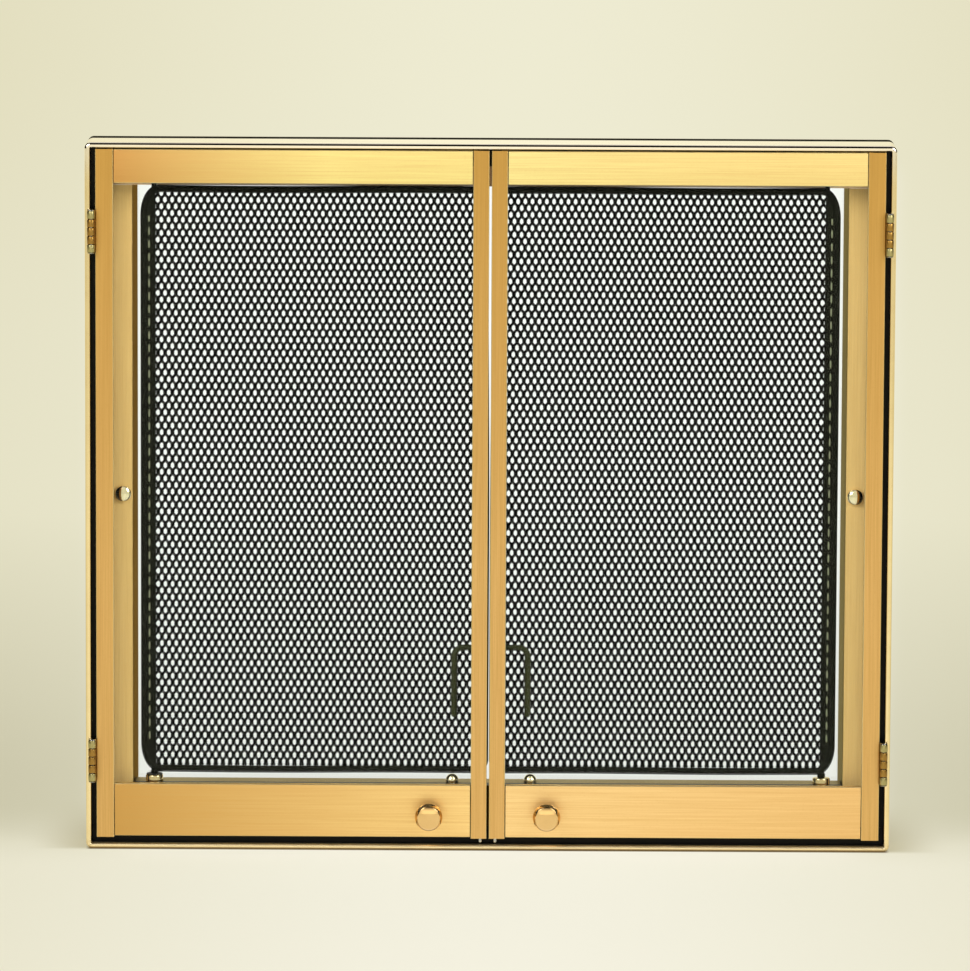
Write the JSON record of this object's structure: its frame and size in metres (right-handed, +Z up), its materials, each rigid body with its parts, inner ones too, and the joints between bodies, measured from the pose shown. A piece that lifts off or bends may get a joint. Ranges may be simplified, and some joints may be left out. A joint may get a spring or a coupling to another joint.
{
  "type": "fireplace door",
  "caption": "Brass-framed fireplace enclosure with hinged glass doors and swinging wire mesh spark screens behind them.",
  "frame": {"origin": "centre of the part's footprint, on the underside of the bottom frame member", "axes": "+X across the width to the right of someone who faces the doors, +Y from the doors towards the hearth, +Z up"},
  "size_m": [0.8636, 0.102, 0.762],
  "materials": {
    "polished_brass": "polished",
    "satin_brass": "satin",
    "black_paint": "satin black",
    "olive_black_paint": "satin olive black",
    "steel": "plated",
    "clear_glass": "clear"
  },
  "bodies": {
    "frame": {"frame_bottom": "polished_brass", "frame_left": "polished_brass", "frame_right": "polished_brass", "frame_top": "polished_brass", "header_plate": "satin_brass", "jamb_button_left": "polished_brass", "jamb_button_right": "polished_brass", "jamb_plate_left": "satin_brass", "jamb_plate_right": "satin_brass", "left_hearth_bracket": "steel", "left_lower_hinge_frame_leaf": "polished_brass", "left_lower_hinge_pin": "steel", "left_pivot_bracket": "steel", "left_pivot_bush": "polished_brass", "left_pivot_washer": "black_paint", "left_upper_hinge_frame_leaf": "polished_brass", "left_upper_hinge_pin": "steel", "liner_bottom": "black_paint", "liner_left": "black_paint", "liner_right": "black_paint", "liner_top": "black_paint", "right_hearth_bracket": "steel", "right_lower_hinge_frame_leaf": "polished_brass", "right_lower_hinge_pin": "steel", "right_pivot_bracket": "steel", "right_pivot_bush": "polished_brass", "right_upper_hinge_frame_leaf": "polished_brass", "right_upper_hinge_pin": "steel", "screen_rest_left": "polished_brass", "screen_rest_right": "polished_brass", "sill_channel": "satin_brass"},
    "left_door": {"left_bottom_rail": "satin_brass", "left_door_catch": "steel", "left_glass": "clear_glass", "left_inner_stile": "satin_brass", "left_knob": "polished_brass", "left_knob_screw": "steel", "left_lower_hinge_door_leaf": "polished_brass", "left_outer_stile": "satin_brass", "left_top_rail": "satin_brass", "left_upper_hinge_door_leaf": "polished_brass"},
    "right_door": {"right_bottom_rail": "satin_brass", "right_door_catch": "steel", "right_glass": "clear_glass", "right_inner_stile": "satin_brass", "right_knob": "polished_brass", "right_knob_screw": "steel", "right_lower_hinge_door_leaf": "polished_brass", "right_outer_stile": "satin_brass", "right_top_rail": "satin_brass", "right_upper_hinge_door_leaf": "polished_brass"},
    "left_screen": {"left_screen_handle": "olive_black_paint", "left_screen_net": "olive_black_paint", "left_screen_rod": "olive_black_paint"},
    "right_screen": {"right_screen_handle": "olive_black_paint", "right_screen_net": "olive_black_paint", "right_screen_rod": "olive_black_paint"}
  },
  "joints": [
    {"name": "left_door_swing", "type": "hinge", "parent": "frame", "child": "left_door", "pos_m": [-0.4247, -0.0297, 0.381], "axis": [0, 0, -1], "range_deg": [0, 120]},
    {"name": "left_screen_swing", "type": "hinge", "parent": "frame", "child": "left_screen", "pos_m": [-0.35935, 0.005, 0.381], "axis": [0, 0, -1], "range_deg": [0, 90]},
    {"name": "right_door_swing", "type": "hinge", "parent": "frame", "child": "right_door", "pos_m": [0.4247, -0.0297, 0.381], "axis": [0, 0, 1], "range_deg": [0, 120]},
    {"name": "right_screen_swing", "type": "hinge", "parent": "frame", "child": "right_screen", "pos_m": [0.35935, 0.005, 0.381], "axis": [0, 0, 1], "range_deg": [0, 90]}
  ],
  "couplings": [
    {"joint": "left_screen_swing", "follows": "left_door_swing", "ratio": 0.75},
    {"joint": "right_screen_swing", "follows": "right_door_swing", "ratio": 0.75}
  ]
}
